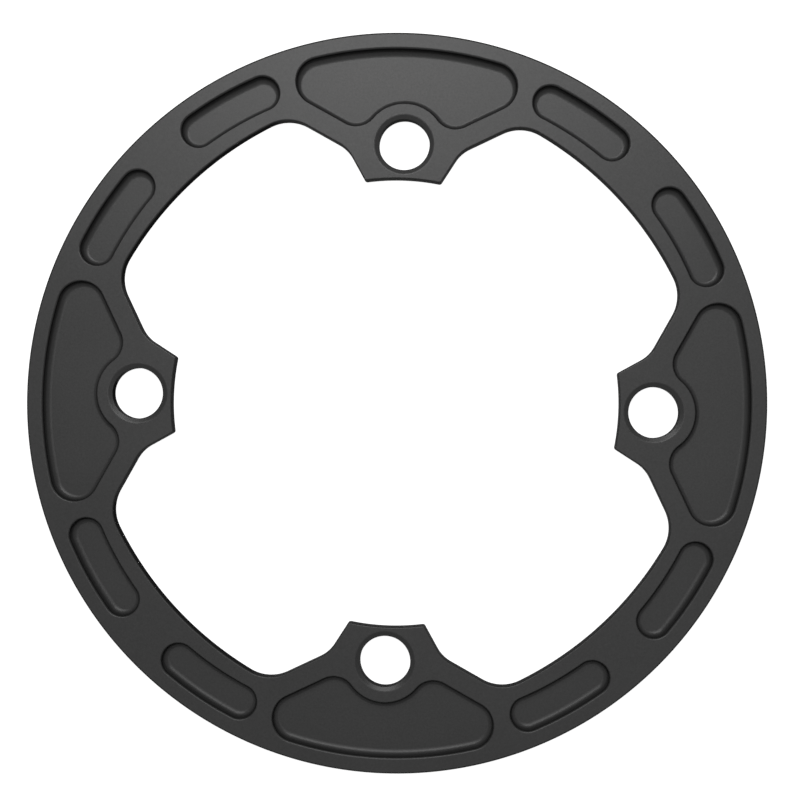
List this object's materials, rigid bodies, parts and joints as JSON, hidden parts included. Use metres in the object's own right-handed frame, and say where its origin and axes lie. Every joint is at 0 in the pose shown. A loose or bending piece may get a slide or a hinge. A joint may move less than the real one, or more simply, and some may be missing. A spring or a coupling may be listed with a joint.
{
  "type": "chainring guard",
  "caption": "Flat black ring that bolts outside a bicycle's chainring, with inward bolt tabs and shallow pockets milled in its front face.",
  "frame": {"origin": "centre of the bolt circle, on the flat back face that seats on the crank's spider", "axes": "+Z along the crank's axis, out of the pocketed front face; +Y through one bolt hole and +X through the next"},
  "size_m": [0.149, 0.149, 0.004],
  "materials": {
    "black_anodised": "satin"
  },
  "bodies": {
    "root": {"guard_ring": "black_anodised"}
  },
  "joints": []
}
